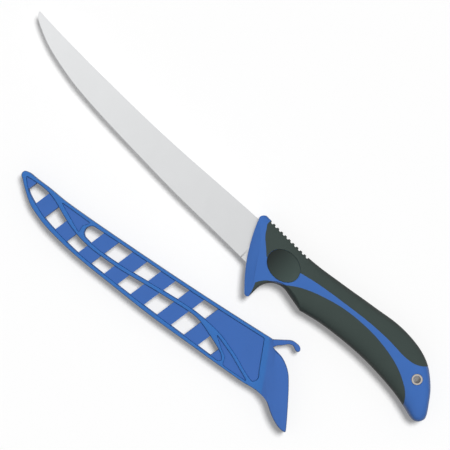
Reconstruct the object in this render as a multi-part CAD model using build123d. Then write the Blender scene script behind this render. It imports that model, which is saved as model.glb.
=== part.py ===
from build123d import *
import math
import os

# Fillet knife with a two-shot handle, beside the windowed sheath it was drawn from.
# Millimetres. +X runs from the blade's tip to the pommel, +Y towards the spine, +Z up.
# The knife lies on its side. Its own datum is the spine corner of the guard's face.

# Driving sizes of the knife
blade_length = 178.5
heel_height = 23.2
blade_thickness = 2.2
handle_length = 151.2
palm_depth = 28.7
handle_thickness = 19.0
guard_run = 26.0
guard_drop = 35.7
guard_rise = 6.1
guard_thickness = 10.8
overrun = 6.0

# Blade: grind, tang and the steel hidden in the handle
tip_thickness = 0.8
shoulder_thickness = 0.5
edge_flat = 0.12
edge_bevel = 0.9
plunge_run = 7.3
tang_share = 0.688
tang_length = tang_share * handle_length
tang_depth = 12.0
tang_hole_radius = 2.6
blade_station_shares = [
    (0.000, 0.060, 0.938),
    (0.134, 0.000, 0.953),
    (0.269, -0.070, 0.966),
    (0.403, -0.128, 0.948),
    (0.538, -0.160, 0.922),
    (0.661, -0.172, 0.879),
    (0.762, -0.177, 0.808),
    (0.840, -0.170, 0.703),
    (0.902, -0.163, 0.582),
    (0.947, -0.151, 0.448),
    (0.978, -0.141, 0.336),
    (0.994, -0.136, 0.246),
    (1.000, -0.139, 0.178),
]

# Handle form: guard stations, then grip stations, from the front to the pommel
guard_station_shares = [
    (-0.23, 1.02, 1.120, 0.86),
    (0.15, 1.00, 1.105, 0.97),
    (0.54, 0.97, 1.090, 1.04),
    (0.85, 0.97, 1.070, 1.14),
]
grip_station_shares = [
    (0.000, 0.207, -1.289, 0.71),
    (0.049, 0.210, -1.170, 0.79),
    (0.098, 0.225, -0.985, 0.86),
    (0.147, 0.249, -0.810, 0.92),
    (0.196, 0.281, -0.700, 0.965),
    (0.245, 0.314, -0.640, 0.99),
    (0.310, 0.357, -0.575, 1.00),
    (0.390, 0.415, -0.523, 1.00),
    (0.487, 0.481, -0.479, 1.00),
    (0.556, 0.530, -0.460, 0.99),
    (0.631, 0.551, -0.456, 0.97),
    (0.703, 0.535, -0.467, 0.94),
    (0.776, 0.474, -0.490, 0.90),
    (0.834, 0.369, -0.521, 0.86),
    (0.883, 0.216, -0.564, 0.82),
    (0.925, 0.045, -0.608, 0.77),
    (0.957, -0.132, -0.631, 0.68),
    (0.982, -0.279, -0.596, 0.52),
    (0.995, -0.373, -0.526, 0.31),
    (1.000, -0.425, -0.470, 0.12),
]
section_roundness_share = 0.74
section_points = 16
grip_start_share = 1.12

# Guard's face, front bevel and finger recess
face_arc_shares = [(-0.055, 0.078), (0.308, -0.448), (0.900, -0.975)]
bump_arc_shares = [(0.130, 1.02), (-0.005, 0.87)]
tip_arc_shares = [(0.980, -1.003), (1.048, -0.958)]
face_bevel_width = 5.0
face_bevel_depth = 1.9
finger_radius = 11.6
finger_wall_share = 1.042
finger_top_share = 0.476
hump_run_share = 0.205
hump_drop_share = 0.683
finger_depth = 11.7
finger_half_width = 10.5
finger_level_shares = [-0.93, -0.8, -0.62, -0.36, 0, 0.36, 0.62, 0.8, 0.93]

# Soft grips moulded over the core
grip_wall = 2.0
spine_front_shares = [
    (0.185, 0.165),
    (0.180, 0.087),
    (0.219, 0.042),
    (0.292, -0.039),
    (0.396, -0.123),
    (0.515, -0.196),
    (0.692, -0.311),
]
spine_edge_shares = [
    (0.083, -0.125),
    (0.148, -0.057),
    (0.245, 0.017),
    (0.342, 0.077),
    (0.438, 0.132),
    (0.535, 0.167),
    (0.631, 0.174),
    (0.728, 0.167),
    (0.776, 0.209),
    (0.825, 0.345),
    (0.847, 0.460),
]
belly_front_shares = [(1.062, -1.030), (1.008, -0.908), (0.973, -0.832), (0.915, -0.737)]
belly_hook_shares = [(0.915, -0.737), (0.995, -0.638), (1.110, -0.555)]
belly_edge_shares = [
    (0.047, -0.578),
    (0.097, -0.425),
    (0.170, -0.251),
    (0.245, -0.132),
    (0.342, -0.021),
    (0.438, 0.031),
    (0.535, 0.042),
    (0.631, 0.003),
    (0.728, -0.094),
    (0.794, -0.220),
    (0.843, -0.362),
    (0.873, -0.523),
    (0.888, -0.645),
]
jimp_count = 9
jimp_pitch = 3.18
jimp_start = 9.6
jimp_radius = 1.3
jimp_depth = 1.5

# Thumb pads let into both sides
pad_place_shares = (1.104, -0.216)
pad_half_length = 11.0
pad_half_height = 8.6
pad_gap = 0.2
pad_dish_radius = 46.0
pad_dish_depth = 0.7

# Rolled lanyard eyelet in the tail
eyelet_place_shares = (0.834, 0.016)
eyelet_bore_radius = 2.3
eyelet_barrel_radius = 2.65
eyelet_flange_radius = 3.1
eyelet_flange = 0.6
eyelet_seat_radius = 3.4
eyelet_half_share = 0.82

# Sheath: two half shells that meet on its middle plane
tip_room = 3.5
rim_width = 2.4
blade_room = 1.35
edge_wall = 1.4
blade_side_room = 1.1
panel_wall = 1.5
rim_height = 1.2
guard_room = 0.3
collar_wall = 1.3
ramp_length = 8.0
fin_reach_share = 1.26
fin_depth_share = 1.16
window_count = 8
window_pitch_share = 0.1107
window_start_share = 0.092
window_width_share = 0.0545
window_slant = 19.3
upper_window_start_count = 2
upper_window_count = 5
latch_thickness = 6.0
rim_nose_shares = [(0.015, -0.101), (0.0052, -0.013), (0.0104, 0.046)]
spine_rim_shares = [
    (0.0104, 0.046),
    (0.023, 0.065),
    (0.046, 0.057),
    (0.104, 0.035),
    (0.155, 0.003),
    (0.216, -0.016),
    (0.412, -0.033),
    (0.714, -0.029),
    (0.980, 0.008),
]
edge_rim_shares = [
    (0.015, -0.101),
    (0.034, -0.208),
    (0.058, -0.329),
    (0.086, -0.446),
    (0.119, -0.534),
    (0.155, -0.609),
    (0.198, -0.671),
    (0.247, -0.726),
    (0.339, -0.798),
    (0.449, -0.853),
    (0.540, -0.899),
    (0.632, -0.935),
    (0.724, -0.954),
    (0.879, -0.985),
    (0.975, -1.000),
]
fin_under_shares = [(0.205, -0.733), (0.302, -0.745), (0.396, -0.774), (0.530, -0.853)]
fin_under_tip_shares = [(0.663, -0.925), (0.796, -0.976), (0.912, -1.000), (0.985, -1.000)]
fin_rear_shares = [
    (1.000, -0.985),
    (0.892, -0.829),
    (0.777, -0.672),
    (0.663, -0.520),
    (0.549, -0.378),
    (0.434, -0.258),
    (0.320, -0.183),
    (0.186, -0.130),
    (0.073, -0.111),
    (-0.034, -0.092),
]
latch_outer_shares = [
    (-0.110, 0.006),
    (-0.003, 0.058),
    (0.091, 0.104),
    (0.206, 0.147),
    (0.262, 0.147),
    (0.378, 0.123),
    (0.409, 0.082),
]
latch_inner_shares = [
    (0.387, 0.048),
    (0.329, 0.051),
    (0.271, 0.082),
    (0.226, 0.089),
    (0.159, 0.066),
    (0.091, 0.014),
    (-0.003, -0.046),
    (-0.034, -0.092),
]
lower_cell_top_shares = [
    (0.0245, -0.031),
    (0.046, -0.026),
    (0.101, -0.042),
    (0.137, -0.098),
    (0.186, -0.238),
    (0.238, -0.371),
    (0.296, -0.466),
    (0.370, -0.508),
    (0.443, -0.515),
    (0.540, -0.485),
    (0.632, -0.459),
    (0.708, -0.450),
    (0.748, -0.480),
    (0.783, -0.557),
    (0.848, -0.725),
    (0.869, -0.806),
    (0.877, -0.876),
]
lower_cell_base_shares = [
    (0.877, -0.876),
    (0.870, -0.919),
    (0.783, -0.893),
    (0.677, -0.860),
    (0.522, -0.808),
    (0.406, -0.756),
    (0.296, -0.691),
    (0.192, -0.567),
    (0.143, -0.485),
    (0.101, -0.378),
    (0.053, -0.215),
    (0.034, -0.101),
    (0.0245, -0.031),
]
upper_cell_top_shares = [(0.296, -0.111), (0.330, -0.107), (0.604, -0.107), (0.852, -0.085)]
upper_cell_mouth_shares = [(0.953, -0.068), (0.998, -0.655), (1.008, -0.775), (0.999, -0.883)]
upper_cell_base_shares = [
    (0.999, -0.883),
    (0.962, -0.801),
    (0.920, -0.674),
    (0.879, -0.573),
    (0.841, -0.485),
    (0.800, -0.430),
    (0.708, -0.371),
    (0.632, -0.378),
    (0.540, -0.404),
    (0.449, -0.433),
    (0.357, -0.427),
    (0.318, -0.401),
    (0.290, -0.365),
]
upper_cell_end_shares = [(0.278, -0.254)]
recess_corner = 0.8
recess_sweep = 2.5
tip_recess_shares = [
    (0.166, -0.071),
    (0.281, -0.096),
    (0.261, -0.226),
    (0.266, -0.366),
]
mouth_recess_shares = [
    (0.819, -0.515),
    (0.893, -0.678),
    (0.983, -0.940),
    (0.886, -0.938),
    (0.871, -0.735),
]

# Where the sheath lies beside the knife
sheath_turn = 11.1
throat_ahead = 33.6
throat_below = 10.2

# Sizes worked out from those above
handle_half = handle_thickness / 2
guard_half = guard_thickness / 2
blade_half = blade_thickness / 2
grip_start = grip_start_share * guard_run
grip_span = handle_length - grip_start
slot_half = blade_half + blade_side_room
panel_half = slot_half + panel_wall
rim_half = panel_half + rim_height
pocket_half = guard_half + guard_room
collar_half = pocket_half + collar_wall
throat_length = blade_length + tip_room
sheath_depth = heel_height + 2 * (rim_width + blade_room)
fin_reach = fin_reach_share * guard_run
fin_depth = fin_depth_share * guard_drop
eyelet_half = eyelet_half_share * handle_half
window_pitch = window_pitch_share * throat_length
window_start = window_start_share * throat_length
window_width = window_width_share * throat_length


def guard_point(run, height):
    return (run * guard_run, height * guard_drop)


def grip_point(run, height):
    return (grip_start + run * grip_span, height * palm_depth)


def sheath_point(run, height):
    return (run * throat_length, height * sheath_depth)


def fin_point(run, height):
    return (throat_length + run * fin_reach, height * fin_depth)


def placed(point, shares):
    return [point(*share) for share in shares]


def arc_chain(points):
    """Arcs through each three points in turn, and a line where two are left over."""
    curves = [ThreePointArc(*points[at : at + 3]) for at in range(0, len(points) - 2, 2)]
    if len(points) % 2 == 0:
        curves.append(Line(*points[-2:]))
    return curves


def closed_face(*curves):
    edges = []
    for curve in curves:
        edges.extend(curve.edges())
    return Face(Wire(edges))


def prism(face, low, high):
    """A face in the middle plane, drawn up from one height to another."""
    return Pos(0, 0, low) * extrude(face, amount=high - low, dir=(0, 0, 1))


def through(face):
    """A face drawn well past both sides of the handle."""
    return prism(face, -handle_thickness, handle_thickness)


def rounded(angle_part, half):
    return half * math.copysign(abs(angle_part) ** section_roundness_share, angle_part)


def oval_section(x, top, bottom, half_width):
    """One upright section of the handle, many-sided and fuller than an ellipse."""
    middle = (top + bottom) / 2
    half_height = (top - bottom) / 2
    points = []
    for step in range(section_points):
        angle = 2 * math.pi * step / section_points
        y = middle + rounded(math.cos(angle), half_height)
        points.append((x, y, rounded(math.sin(angle), half_width)))
    return Face(Wire(Polyline(*points, close=True).edges()))


def handle_stations():
    stations = []
    for run, top, bottom, width in guard_station_shares:
        x = run * guard_run
        stations.append((x, top * guard_rise, -bottom * guard_drop, width * guard_half))
    for run, top, bottom, width in grip_station_shares:
        x, crown = grip_point(run, top)
        stations.append((x, crown, bottom * palm_depth, width * handle_half))
    return stations


def handle_loft(inset):
    """The crowned body of the handle, or the core that lies inset below its surface."""
    sections = []
    for x, top, bottom, half_width in handle_stations():
        if half_width > 2 * inset:
            sections.append(oval_section(x, top - inset, bottom + inset, half_width - inset))
    return loft(sections)


def finger_outline(grow):
    """The recess in side view: a tangent wall, an arc and a run up to the hump."""
    radius = finger_radius + grow
    centre_x = finger_wall_share * guard_run + finger_radius
    centre_y = -finger_top_share * guard_drop - finger_radius
    hump_x, hump_y = grip_point(hump_run_share, -hump_drop_share)
    across = hump_x - centre_x
    up = hump_y - centre_y
    tangent = math.atan2(up, across) + math.acos(finger_radius / math.hypot(across, up))
    half_way = (math.pi + tangent) / 2
    start = (centre_x - radius, centre_y)
    middle = (centre_x + radius * math.cos(half_way), centre_y + radius * math.sin(half_way))
    leave = (centre_x + radius * math.cos(tangent), centre_y + radius * math.sin(tangent))
    hump = (hump_x + grow * math.cos(tangent), hump_y + grow * math.sin(tangent))
    floor = -guard_drop - 2 * overrun
    return closed_face(
        Line((start[0], floor), start),
        ThreePointArc(start, middle, leave),
        Line(leave, hump),
        Polyline(hump, (hump[0] + overrun, floor), (start[0], floor)),
    )


def finger_cutter(inset):
    """Waisted like a pulley, so that the recess has the same crown as the handle."""
    levels = []
    for share in finger_level_shares:
        power = 1 / section_roundness_share * 2
        crown = finger_depth * (1 - (1 - abs(share) ** power) ** (1 / power))
        z = share * finger_half_width
        levels.append(Pos(0, 0, z) * finger_outline(crown + inset))
    return loft(levels, ruled=True)


def front_outline():
    """Everything behind the guard's face, with its bump and its hooked tip."""
    bump_top = (bump_arc_shares[0][0] * guard_run, bump_arc_shares[0][1] * guard_rise)
    bump_side = (bump_arc_shares[1][0] * guard_run, bump_arc_shares[1][1] * guard_rise)
    face = placed(guard_point, face_arc_shares)
    tip = placed(guard_point, tip_arc_shares)
    far = handle_length + overrun
    high = palm_depth
    low = -guard_drop - 2 * overrun
    return closed_face(
        ThreePointArc(bump_top, bump_side, face[0]),
        ThreePointArc(*face),
        ThreePointArc(face[2], *tip),
        Polyline(tip[1], (finger_wall_share * guard_run + overrun, low), (far, low)),
        Polyline((far, low), (far, high), (bump_top[0], high), bump_top),
    )


def face_bevels():
    """Wedges that slope both front edges of the guard back to a ridge."""
    face = placed(guard_point, face_arc_shares)
    slope = math.degrees(math.atan2(face[2][1] - face[0][1], face[2][0] - face[0][0]))
    top_width = face_bevel_width
    rise = face_bevel_depth / face_bevel_width
    section = Polyline(
        (top_width, guard_half),
        (top_width, handle_thickness),
        (-overrun, handle_thickness),
        (-overrun, guard_half - face_bevel_depth - overrun * rise),
        (top_width, guard_half),
    )
    across = Plane(
        origin=(face[1][0], face[1][1], 0),
        x_dir=Vector(1, 0, 0).rotate(Axis.Z, slope + 90),
        z_dir=Vector(1, 0, 0).rotate(Axis.Z, slope),
    )
    wedge = extrude(across * Face(Wire(section.edges())), amount=2 * guard_drop, both=True)
    if wedge.center().Z < 0:
        wedge = mirror(wedge, about=Plane.XY)
    return wedge + mirror(wedge, about=Plane.XY)


def handle_form():
    """The whole handle as one smooth block, before it is shared out."""
    block = handle_loft(0) & through(front_outline())
    block = block - finger_cutter(0)
    return block - face_bevels()


def core_form():
    """What is left when the grips' wall is taken off the handle all round."""
    return handle_loft(grip_wall) - finger_cutter(grip_wall)


def spine_region():
    front = placed(guard_point, spine_front_shares)
    edge = placed(grip_point, spine_edge_shares)
    high = palm_depth
    return closed_face(
        *arc_chain(front),
        Line(front[-1], edge[0]),
        *arc_chain(edge),
        Polyline(edge[-1], (edge[-1][0], high), (front[0][0], high), front[0]),
    )


def belly_region():
    front = placed(guard_point, belly_front_shares)
    edge = placed(guard_point, belly_hook_shares) + placed(grip_point, belly_edge_shares)
    low = -guard_drop - overrun
    return closed_face(
        *arc_chain(front),
        *arc_chain(edge),
        Polyline(edge[-1], (edge[-1][0], low), (front[0][0], low), front[0]),
    )


def pad_region(gap):
    x, y = guard_point(*pad_place_shares)
    ellipse = Ellipse(pad_half_length - gap, pad_half_height - gap)
    return Pos(x, y) * ellipse.face()


def jimp_cutters():
    """Round notches across the spine for the thumb."""
    cutters = []
    height = guard_rise - jimp_depth + jimp_radius
    for index in range(jimp_count):
        x = jimp_start + index * jimp_pitch
        cutters.append(Pos(x, height, 0) * Cylinder(jimp_radius, 2 * handle_thickness))
    return cutters


def build_blade():
    """Flat ground from spine to edge, thinner towards the tip, with its tang."""
    sections = []
    for run, top, bottom in [(-plunge_run / blade_length, *blade_station_shares[0][1:])] + (
        blade_station_shares
    ):
        x = -run * blade_length
        thinning = tip_thickness + (blade_thickness - tip_thickness) * min(1, 1 - run)
        spine = thinning / 2
        shoulder = shoulder_thickness / 2
        edge = edge_flat / 2
        y_top = top * heel_height
        y_low = -bottom * heel_height
        y_mid = y_low + edge_bevel
        corners = [
            (x, y_top, spine),
            (x, y_mid, shoulder),
            (x, y_low, edge),
            (x, y_low, -edge),
            (x, y_mid, -shoulder),
            (x, y_top, -spine),
        ]
        sections.append(Face(Wire(Polyline(*corners, close=True).edges())))
    ground = loft(sections)
    return ground + build_tang()


def build_tang():
    """The unground heel and the tang that the handle is moulded round."""
    top = blade_station_shares[0][1] * heel_height
    bottom = -blade_station_shares[0][2] * heel_height
    heel_end = plunge_run + overrun + blade_room
    tail = plunge_run + tang_length
    sag = tang_depth - top
    outline = Polyline(
        (plunge_run, top),
        (tail / 2, top * 2),
        (tail, top + tang_depth / 3),
        (tail, -sag / 4),
        (tail / 2, -sag),
        (heel_end + tang_depth, -sag),
        (heel_end, bottom),
        (plunge_run, bottom),
        close=True,
    )
    tang = prism(Face(Wire(outline.edges())), -blade_half, blade_half)
    for share in (1 / 2, 3 / 4):
        x = plunge_run + share * tang_length
        tang -= Pos(x, 0, 0) * Cylinder(tang_hole_radius, 2 * blade_thickness)
    return tang - Pos(*eyelet_centre()) * Cylinder(eyelet_seat_radius, 2 * blade_thickness)


def eyelet_centre():
    return grip_point(*eyelet_place_shares)


def build_eyelet():
    """A barrel with its flange rolled over on the front."""
    x, y = eyelet_centre()
    seat = eyelet_half - eyelet_flange
    barrel = prism(Circle(eyelet_barrel_radius).face(), -eyelet_half, eyelet_half)
    flange = prism(Circle(eyelet_flange_radius).face(), seat, eyelet_half)
    body = barrel + flange
    rim = body.edges().filter_by(GeomType.CIRCLE).group_by(Axis.Z)[-1]
    body = chamfer(rim, eyelet_flange / 3)
    bore = Cylinder(eyelet_bore_radius, 2 * handle_thickness)
    return Pos(x, y, 0) * (body - bore)


def build_washer():
    """The ring that the barrel is set against at the back."""
    x, y = eyelet_centre()
    seat = eyelet_half - eyelet_flange
    ring = prism(Circle(eyelet_flange_radius).face(), -eyelet_half, -seat)
    hole = Cylinder(eyelet_barrel_radius, 2 * handle_thickness)
    return Pos(x, y, 0) * (ring - hole)


def eyelet_seats():
    """The through hole and the two shallow seats in the tail."""
    x, y = eyelet_centre()
    seat = eyelet_half - eyelet_flange
    high = handle_thickness
    hole = prism(Circle(eyelet_barrel_radius).face(), -high, high)
    front = prism(Circle(eyelet_seat_radius).face(), seat, high)
    back = prism(Circle(eyelet_seat_radius).face(), -high, -seat)
    return Pos(x, y, 0) * (hole + front + back)


def build_handle(blade):
    """The handle's block shared out among its core, its grips and its thumb pads."""
    block = handle_form()
    inner = core_form()
    pads = through(pad_region(0))
    spine_skin = through(spine_region()) - pads - inner
    belly_skin = through(belly_region()) - pads - inner
    pad_skin = pads - inner
    core = block - spine_skin - belly_skin - pad_skin - blade - eyelet_seats()
    spine = (block & spine_skin) - jimp_cutters()
    belly = block & belly_skin
    pad_pair = block & (through(pad_region(pad_gap)) - inner)
    front, back = dished_pads(pad_pair)
    return core, spine, belly, front, back


def dished_pads(pad_pair):
    """A shallow dish in each thumb pad, sunk from the pad's own face."""
    x, y = guard_point(*pad_place_shares)
    back, front = pad_pair.solids().sort_by(Axis.Z)
    depth = pad_dish_radius - pad_dish_depth
    high = front.bounding_box().max.Z + depth
    low = back.bounding_box().min.Z - depth
    front = front - Pos(x, y, high) * Sphere(pad_dish_radius)
    return front, back - Pos(x, y, low) * Sphere(pad_dish_radius)


def main_outline():
    """The sheath in side view, without its latch finger."""
    edge_end = sheath_point(*edge_rim_shares[-1])
    under = [edge_end] + placed(fin_point, fin_under_shares + fin_under_tip_shares)
    rear = placed(fin_point, fin_rear_shares)
    spine = placed(sheath_point, spine_rim_shares)
    return closed_face(
        ThreePointArc(*placed(sheath_point, rim_nose_shares)),
        *arc_chain(spine),
        Line(spine[-1], rear[-1]),
        *arc_chain(rear[::-1]),
        Line(rear[0], under[-1]),
        *arc_chain(under[::-1]),
        *arc_chain(placed(sheath_point, edge_rim_shares)[::-1]),
    )


def inset_line(points, wall):
    """Points moved square to their line, to its left for a positive wall."""
    moved = []
    for index, (x, y) in enumerate(points):
        before = points[max(index - 1, 0)]
        after = points[min(index + 1, len(points) - 1)]
        run = after[0] - before[0]
        rise = after[1] - before[1]
        length = math.hypot(run, rise)
        moved.append((x - wall * rise / length, y + wall * run / length))
    return moved


def slot_outline():
    """The blade's slot: the outline less the edge wall, open at the mouth."""
    spine = inset_line(placed(sheath_point, spine_rim_shares[2:]), -edge_wall)
    edge = inset_line(placed(sheath_point, edge_rim_shares[1:]), edge_wall)
    x_mouth = fin_point(*fin_rear_shares[4])[0]
    return closed_face(
        *arc_chain(spine),
        Polyline(spine[-1], (x_mouth, spine[-1][1]), (x_mouth, edge[-1][1]), edge[-1]),
        *arc_chain(edge[::-1]),
        Line(edge[0], spine[0]),
    )


def pocket_outline():
    """The wider throat that the guard's hook seats in, open along the rear."""
    rear = placed(fin_point, fin_rear_shares)
    under = placed(fin_point, fin_under_tip_shares)
    x_top = throat_length + blade_room
    far = throat_length + fin_reach + overrun
    low = under[-1][1] + edge_wall
    corners = [
        (x_top, overrun),
        (x_top, rear[-1][1]),
        (under[0][0] - edge_wall, under[0][1] + 2 * edge_wall),
        (under[1][0], low),
        (far, low),
        (far, overrun),
    ]
    return Face(Wire(Polyline(*corners, close=True).edges()))


def latch_outline():
    """The sprung finger that hooks over the guard's bump."""
    outer = placed(fin_point, latch_outer_shares)
    inner = placed(fin_point, latch_inner_shares)
    root = (outer[0][0] - overrun, outer[0][1] - rim_width / 4)
    return closed_face(
        Line(root, outer[0]),
        *arc_chain(outer),
        Line(outer[-1], inner[0]),
        *arc_chain(inner),
        Polyline(inner[-1], (root[0], inner[-1][1]), root),
    )


def lower_cell():
    base = placed(sheath_point, lower_cell_base_shares)
    return closed_face(
        *arc_chain(placed(sheath_point, lower_cell_top_shares)),
        Line(base[0], base[1]),
        *arc_chain(base[1:]),
    )


def upper_cell():
    top = placed(sheath_point, upper_cell_top_shares)
    mouth = placed(sheath_point, upper_cell_mouth_shares)
    base = placed(sheath_point, upper_cell_base_shares)
    end = placed(sheath_point, upper_cell_end_shares)
    return closed_face(
        *arc_chain(top + mouth[:1]),
        Line(mouth[0], mouth[1]),
        *arc_chain(mouth[1:]),
        *arc_chain(base),
        ThreePointArc(base[-1], end[0], top[0]),
    )


def recess(shares, swept):
    """A blind recess with rounded corners, where the points in swept turn gently."""
    radii = [recess_corner] * len(shares)
    for index in swept:
        radii[index] = recess_sweep
    return closed_face(FilletPolyline(*placed(sheath_point, shares), radius=radii, close=True))


def window_bands(first, count):
    """Slanted bands that cross both rows of windows."""
    lean = math.tan(math.radians(window_slant)) * sheath_depth
    bands = []
    for index in range(first, first + count):
        x = window_start + index * window_pitch
        half = window_width / 2
        corners = [
            (x - half, 0),
            (x + half, 0),
            (x + half - lean, -sheath_depth),
            (x - half - lean, -sheath_depth),
        ]
        bands.append(Face(Wire(Polyline(*corners, close=True).edges())))
    return bands


def collar(outline):
    """The swollen throat, rising on a ramp from the panel's own level."""
    mouth = placed(sheath_point, upper_cell_mouth_shares[:2])
    slope = math.degrees(math.atan2(mouth[1][1] - mouth[0][1], mouth[1][0] - mouth[0][0]))
    across = Plane(
        origin=(mouth[0][0], mouth[0][1], 0),
        x_dir=Vector(1, 0, 0).rotate(Axis.Z, slope + 90),
        z_dir=Vector(1, 0, 0).rotate(Axis.Z, slope),
    )
    section = Polyline(
        (0, 0),
        (0, panel_half),
        (ramp_length, collar_half),
        (fin_reach + fin_depth, collar_half),
        (fin_reach + fin_depth, 0),
        close=True,
    )
    block = extrude(across * Face(Wire(section.edges())), amount=2 * fin_depth, both=True)
    return block & prism(outline, 0, collar_half)


def build_front_shell():
    """The upper half: rims and ribs stand above thin panels, which carry the windows."""
    outline = main_outline()
    cells = [lower_cell(), upper_cell()]
    blind = [recess(tip_recess_shares, [2]), recess(mouth_recess_shares, [1, 4])]
    ribs = plate = outline
    for face in cells + blind:
        ribs -= face
    rows = [(cells[0], 0, window_count), (cells[1], upper_window_start_count, upper_window_count)]
    for face, first, count in rows:
        for band in window_bands(first, count):
            plate -= face & band
    shell = prism(plate, 0, panel_half) + prism(ribs, panel_half, rim_half) + collar(outline)
    shell -= prism(slot_outline(), 0, slot_half)
    shell -= prism(pocket_outline(), 0, pocket_half)
    return shell + prism(latch_outline(), 0, latch_thickness / 2)


def sheath_place():
    """Moves the sheath from its own frame to where it lies beside the knife."""
    at = (guard_run + throat_ahead, -guard_drop - throat_below, collar_half)
    corner = fin_point(*fin_rear_shares[-1])
    return Location(at, (0, 0, sheath_turn)) * Pos(-throat_length, -corner[1], 0)


def build_all():
    """Every sub-part by name, the knife and the sheath each resting on the floor."""
    blade = build_blade()
    core, spine, belly, pad_front, pad_back = build_handle(blade)
    knife = {
        "blade": blade,
        "handle_core": core,
        "spine_grip": spine,
        "belly_grip": belly,
        "thumb_pad_front": pad_front,
        "thumb_pad_back": pad_back,
        "lanyard_eyelet": build_eyelet(),
        "eyelet_washer": build_washer(),
    }
    shell = build_front_shell()
    sheath = {
        "sheath_front_shell": shell,
        "sheath_back_shell": mirror(shell, about=Plane.XY),
    }
    parts = {}
    for name, shape in knife.items():
        parts[name] = Pos(0, 0, handle_half) * shape
    for name, shape in sheath.items():
        parts[name] = sheath_place() * shape
    return parts


def centred(parts):
    """The same parts with the origin at the middle of the footprint."""
    boxes = [shape.bounding_box() for shape in parts.values()]
    x = (min(box.min.X for box in boxes) + max(box.max.X for box in boxes)) / 2
    y = (min(box.min.Y for box in boxes) + max(box.max.Y for box in boxes)) / 2
    z = min(box.min.Z for box in boxes)
    print("guard datum lies at", round(-x, 3), round(-y, 3), round(handle_half - z, 3))
    return {name: Pos(-x, -y, -z) * shape for name, shape in parts.items()}


os.makedirs("parts", exist_ok=True)
for name, shape in centred(build_all()).items():
    export_step(shape, f"parts/{name}.step")
    print(name, len(shape.solids()), round(shape.volume))
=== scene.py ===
"""A fillet knife lying beside its windowed sheath, seen from straight above.

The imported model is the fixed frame. The builders draw in millimetres, in the knife's own drawing,
whose datum is the spine corner of the guard's face, and each finished mesh is moved to its place
in the frame in metres.
"""

import logging
import math
from dataclasses import dataclass
from enum import Enum
from functools import cache
from typing import Sequence

import bmesh
import bpy
import numpy as np
from mathutils import Matrix, Vector
from mathutils.geometry import delaunay_2d_cdt


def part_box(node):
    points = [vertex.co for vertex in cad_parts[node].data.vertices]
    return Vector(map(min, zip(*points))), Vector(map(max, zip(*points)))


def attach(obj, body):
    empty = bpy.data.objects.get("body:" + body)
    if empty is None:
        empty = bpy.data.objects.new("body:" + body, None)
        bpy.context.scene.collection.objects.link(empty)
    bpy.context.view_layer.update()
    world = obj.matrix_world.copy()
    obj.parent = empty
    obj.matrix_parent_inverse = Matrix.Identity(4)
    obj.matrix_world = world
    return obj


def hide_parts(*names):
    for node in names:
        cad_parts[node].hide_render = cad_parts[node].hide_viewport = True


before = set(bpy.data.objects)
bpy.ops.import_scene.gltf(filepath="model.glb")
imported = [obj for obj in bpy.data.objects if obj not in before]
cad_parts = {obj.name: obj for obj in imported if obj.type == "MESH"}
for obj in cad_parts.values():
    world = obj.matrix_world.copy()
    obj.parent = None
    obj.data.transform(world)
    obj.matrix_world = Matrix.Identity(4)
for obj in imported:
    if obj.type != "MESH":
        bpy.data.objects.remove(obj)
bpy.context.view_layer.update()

log = logging.getLogger("fillet_knife")
Point = tuple[float, float]
Colour = tuple[float, float, float]
Line = Sequence[Sequence[float]]
Array = np.ndarray
Piece = bpy.types.Object
Node = bpy.types.Node
Socket = bpy.types.NodeSocket
MM = 0.001
MERGE = 0.002
ENDING = "_piece"
SAME = 1e-6
CLOSE = 1e-7
ROUND_STEPS = 5


class Cut(Enum):
    """How one closed mesh changes another."""

    KEEP = "INTERSECT"
    REMOVE = "DIFFERENCE"
    JOIN = "UNION"


class Shading(Enum):
    """How sharp an edge has to be before it is shaded as a crease, in degrees."""

    MOULDED = 32.0
    GROUND = 12.0
    TURNED = 40.0


# Drawing tables, in thousandths of the sizes in the builders, and the tang's in millimetres


BLADE_STATIONS: Line = (
    (0, 60, 938), (134, 0, 953), (269, -70, 966), (403, -128, 948), (538, -160, 922),
    (661, -172, 879), (762, -177, 808), (840, -170, 703), (902, -163, 582), (947, -151, 448),
    (978, -141, 336), (994, -136, 246), (1000, -139, 178),
)
GUARD_STATIONS: Line = (
    (-230, 1020, 1120, 860), (150, 1000, 1105, 970), (540, 970, 1090, 1040),
    (850, 970, 1070, 1140),
)
GRIP_STATIONS: Line = (
    (0, 207, -1289, 710), (49, 210, -1170, 790), (98, 225, -985, 860), (147, 249, -810, 920),
    (196, 281, -700, 965), (245, 314, -640, 990), (310, 357, -575, 1000), (390, 415, -523, 1000),
    (487, 481, -479, 1000), (556, 530, -460, 990), (631, 551, -456, 970), (703, 535, -467, 940),
    (776, 474, -490, 900), (834, 369, -521, 860), (883, 216, -564, 820), (925, 45, -608, 770),
    (957, -132, -631, 680), (982, -279, -596, 520), (995, -373, -526, 310),
    (1000, -425, -470, 120),
)
FACE_ARC: Line = ((-55, 78), (308, -448), (900, -975))
BUMP_ARC: Line = ((130, 1020), (-5, 870))
TIP_ARC: Line = ((980, -1003), (1048, -958))
SPINE_FRONT: Line = (
    (185, 165), (180, 87), (219, 42), (292, -39), (396, -123), (515, -196), (692, -311),
)
SPINE_EDGE: Line = (
    (83, -125), (148, -57), (245, 17), (342, 77), (438, 132), (535, 167), (631, 174), (728, 167),
    (776, 209), (825, 345), (847, 460),
)
BELLY_FRONT: Line = ((1062, -1030), (1008, -908), (973, -832), (915, -737))
BELLY_HOOK: Line = ((915, -737), (995, -638), (1110, -555))
BELLY_EDGE: Line = (
    (47, -578), (97, -425), (170, -251), (245, -132), (342, -21), (438, 31), (535, 42), (631, 3),
    (728, -94), (794, -220), (843, -362), (873, -523), (888, -645),
)
RIM_NOSE: Line = ((15, -101), (5.2, -13), (10.4, 46))
SPINE_RIM: Line = (
    (10.4, 46), (23, 65), (46, 57), (104, 35), (155, 3), (216, -16), (412, -33), (714, -29),
    (980, 8),
)
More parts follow.
